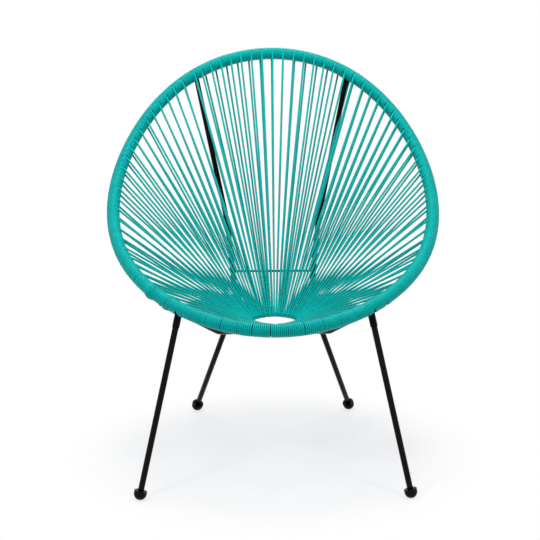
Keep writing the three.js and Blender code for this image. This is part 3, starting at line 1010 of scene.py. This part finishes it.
# %% [markdown]
# ## Round feet
# Each foot is a moulded plastic cup, pushed on the end of a leg: round below, straight above the
# middle, with a flat top. Its underside has a small flat from standing. A ball primitive is widened
# to a cylinder above its middle and cut at both places, and the flat top gets its rounded rim and
# its hole as the sockets did. The cup is smaller than the ball of the solids, so it sits a little
# lower on the leg.

# %% Plastic finish
def plastic_finish():
    finish, nodes, links, shader, place = new_finish("black_moulded_plastic")
    tint = speckle(nodes, links, place, 150)
    colour = two_colours(nodes, links, tint, (0.002, 0.002, 0.0025), (0.004, 0.004, 0.0045))
    links.new(colour, shader.inputs["Base Color"])
    gloss = spread(nodes, links, speckle(nodes, links, place, 250, 3), 0.16, 0.26)
    links.new(gloss, shader.inputs["Roughness"])
    add_bump(nodes, links, shader, speckle(nodes, links, place, 2500), 0.2, 0.0001)
    shader.inputs["Specular IOR Level"].default_value = 0.08
    return finish


black_plastic = plastic_finish()
print("made", black_plastic.name)

# %% Feet
FOOT_RADIUS, FOOT_TOP, FOOT_SUNK = 13.5 * mm, 6.5 * mm, 0.9 * mm
FOOT_RIM, FOOT_HOLE = 1.3 * mm, 6 * mm
FOOT_WALL = FOOT_RADIUS - LEG_RADIUS - 0.3 * mm


def cut_flat(piece, at, normal):
    """Cuts away what lies past a plane, and closes the cut."""
    pick_faces(piece, lambda middle, face_normal: True)
    bpy.ops.mesh.bisect(
        plane_co=tuple(at), plane_no=tuple(normal), use_fill=True, clear_outer=True,
        threshold=0.001 * mm,
    )
    bpy.ops.object.mode_set(mode="OBJECT")


def widen_above(piece, middle, up, radius):
    """Turns the upper half of a ball into a cylinder of the same radius."""
    for corner in piece.data.vertices:
        across = np.array(corner.co) - middle
        height = across @ up
        across = across - up * height
        if height > 0 and np.linalg.norm(across) > 0.1 * mm:
            corner.co = middle + up * height + unit(across) * radius


for place, (root, foot, _) in LEG_LINES.items():
    up = unit(root - foot)
    foot = foot - up * (FOOT_SUNK / up[2])
    bpy.ops.object.select_all(action="DESELECT")
    bpy.ops.mesh.primitive_uv_sphere_add(
        segments=48, ring_count=28, radius=FOOT_RADIUS, location=tuple(foot),
        rotation=Vector(up).to_track_quat("Z", "Y").to_euler(),
    )
    ball = bpy.context.object
    ball.name = "ball_foot_" + place
    bpy.ops.object.transform_apply(location=True, rotation=True, scale=True)
    widen_above(ball, foot, up, FOOT_RADIUS)
    cut_flat(ball, foot + up * FOOT_TOP, up)
    finish_end(ball, up, FOOT_RIM, FOOT_WALL, FOOT_HOLE)
    cut_flat(ball, (0, 0, 0), (0, 0, -1))
    smooth_by_angle(ball)
    ball.data.materials.append(black_plastic)
    take_place(ball, "foot_" + place)
print("four feet")

# %% [markdown]
# ## Zinc studs
# The studs that join legs and sockets are inside, so the plain solids stay. They still get a real
# finish, because the pieces may be taken apart.

# %% Zinc finish
def zinc_finish():
    finish, nodes, links, shader, place = new_finish("zinc_plate")
    tint = speckle(nodes, links, place, 400, 4)
    colour = two_colours(nodes, links, tint, (0.46, 0.47, 0.49), (0.62, 0.63, 0.65))
    links.new(colour, shader.inputs["Base Color"])
    gloss = spread(nodes, links, speckle(nodes, links, place, 700, 3), 0.28, 0.45)
    links.new(gloss, shader.inputs["Roughness"])
    add_bump(nodes, links, shader, speckle(nodes, links, place, 3000), 0.15, 0.0001)
    shader.inputs["Metallic"].default_value = 1
    return finish


zinc = zinc_finish()
for place in LEG_LINES:
    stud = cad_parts["leg_stud_" + place]
    stud.data.materials.clear()
    stud.data.materials.append(zinc)
print("studs are zinc")

# %% [markdown]
# ## Floor, background and light
# The photograph has a white floor and background, with only a pale soft shadow under the chair. The
# floor throws little light back up, as in a studio with dark walls. To the camera it is a matt floor
# with a glow added, which lightens the real shadow and, being bluer, tints it blue. Round the chair
# it is a painted shade disc, a little greyer than white, which fades to pure white from about a
# quarter to half a metre away. The world is white to the camera and darker as a light. A wide lamp
# hangs above the chair, and two weaker ones stand in front of it, to the left and to the right.

# %% What the camera sees
def camera_share(nodes, links):
    """One for what the camera sees straight, in a mirror or through glass, and zero for light."""
    path = nodes.new("ShaderNodeLightPath")
    either = nodes.new("ShaderNodeMath")
    either.operation = "MAXIMUM"
    links.new(path.outputs["Is Camera Ray"], either.inputs[0])
    links.new(path.outputs["Is Glossy Ray"], either.inputs[1])
    both = nodes.new("ShaderNodeMath")
    both.operation = "MAXIMUM"
    links.new(either.outputs[0], both.inputs[0])
    links.new(path.outputs["Is Transmission Ray"], both.inputs[1])
    return both.outputs[0]


print("helper for white backgrounds is ready")

# %% Floor
# Round SHADOW_MIDDLE the floor shows painted shade: its lit matt part and glow sit a little below white
# there and carry the real shadow, and further out they fade to pure white.
GREY = (0.6, 0.6, 0.6, 1)
SHADED, GLOW, GLOW_STRENGTH = (0.40, 0.39, 0.36, 1), (0.92, 0.935, 1, 1), 0.6
SHADOW_MIDDLE, SHADE_FADES_FROM, SHADE_GONE_AT = (0, -0.06, 0), 0.27, 0.5


def floor_finish():
    finish = bpy.data.materials.new("white_floor")
    finish.use_nodes = True
    nodes, links = finish.node_tree.nodes, finish.node_tree.links
    nodes.clear()
    grey = nodes.new("ShaderNodeBsdfDiffuse")
    grey.inputs["Color"].default_value = GREY
    matt = nodes.new("ShaderNodeBsdfDiffuse")
    matt.inputs["Color"].default_value = SHADED
    glow = nodes.new("ShaderNodeEmission")
    glow.inputs["Color"].default_value = GLOW
    glow.inputs["Strength"].default_value = GLOW_STRENGTH
    lit = nodes.new("ShaderNodeAddShader")
    links.new(matt.outputs[0], lit.inputs[0])
    links.new(glow.outputs[0], lit.inputs[1])
    white = nodes.new("ShaderNodeEmission")
    place = nodes.new("ShaderNodeTexCoord")
    reach = nodes.new("ShaderNodeVectorMath")
    reach.operation = "DISTANCE"
    reach.inputs[1].default_value = SHADOW_MIDDLE
    links.new(place.outputs["Object"], reach.inputs[0])
    # Painted shadow edge: between these two distances the greyish lit floor fades to pure white.
    painted_shadow_fade = nodes.new("ShaderNodeMapRange")
    painted_shadow_fade.interpolation_type = "SMOOTHSTEP"
    painted_shadow_fade.inputs["From Min"].default_value = SHADE_FADES_FROM
    painted_shadow_fade.inputs["From Max"].default_value = SHADE_GONE_AT
    links.new(reach.outputs["Value"], painted_shadow_fade.inputs["Value"])
    # The painted shade disc: the lit floor with its real shadow near the chair, white emission further
    # out.
    near = nodes.new("ShaderNodeMixShader")
    links.new(painted_shadow_fade.outputs["Result"], near.inputs["Fac"])
    links.new(lit.outputs[0], near.inputs[1])
    links.new(white.outputs[0], near.inputs[2])
    mix = nodes.new("ShaderNodeMixShader")
    links.new(camera_share(nodes, links), mix.inputs["Fac"])
    links.new(grey.outputs[0], mix.inputs[1])
    links.new(near.outputs[0], mix.inputs[2])
    links.new(mix.outputs[0], nodes.new("ShaderNodeOutputMaterial").inputs["Surface"])
    return finish


FLOOR_SIZE, FLOOR_DROP = 60, 0.2 * mm
bpy.ops.object.select_all(action="DESELECT")
bpy.ops.mesh.primitive_plane_add(size=FLOOR_SIZE, location=(0, 0, -FLOOR_DROP))
floor = bpy.context.object
floor.name = "floor"
floor.data.materials.append(floor_finish())
floor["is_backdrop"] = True
print("white floor,", FLOOR_SIZE, "m wide")

# %% World
WORLD_LIGHT = 0.52
world = bpy.data.worlds.new("studio")
bpy.context.scene.world = world
world.use_nodes = True
nodes, links = world.node_tree.nodes, world.node_tree.links
nodes.clear()
lighting = nodes.new("ShaderNodeBackground")
lighting.inputs["Color"].default_value = (1, 1, 1, 1)
lighting.inputs["Strength"].default_value = WORLD_LIGHT
seen = nodes.new("ShaderNodeBackground")
seen.inputs["Color"].default_value = (1, 1, 1, 1)
mix = nodes.new("ShaderNodeMixShader")
links.new(camera_share(nodes, links), mix.inputs["Fac"])
links.new(lighting.outputs[0], mix.inputs[1])
links.new(seen.outputs[0], mix.inputs[2])
links.new(mix.outputs[0], nodes.new("ShaderNodeOutputWorld").inputs["Surface"])
print("white world that lights at", WORLD_LIGHT)

# %% Lamps
LAMP_AIM = (0, 0, 0.4)


def soft_lamp(name, at, size, watts):
    data = bpy.data.lights.new(name, "AREA")
    data.shape = "DISK"
    data.size = size
    data.energy = watts
    lamp = bpy.data.objects.new(name, data)
    lamp.location = at
    lamp.rotation_euler = (Vector(at) - Vector(LAMP_AIM)).to_track_quat("Z", "Y").to_euler()
    bpy.context.scene.collection.objects.link(lamp)


soft_lamp("lamp_above", (-0.05, 0.25, 2.9), 1.7, 42)
soft_lamp("lamp_front_left", (-1.4, -2.0, 2.3), 0.5, 19)
soft_lamp("lamp_front_right", (1.6, -2.0, 2.2), 0.5, 14)
bpy.context.scene.view_settings.view_transform = "Standard"
print("three soft lamps")

# %% [markdown]
# Last, the box of the finished chair is measured and printed. Only the cord may stand proud of
# it, and only by a few millimetres.

# %% The finished box
low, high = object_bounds()
print("finished box", tuple(low), tuple(high))
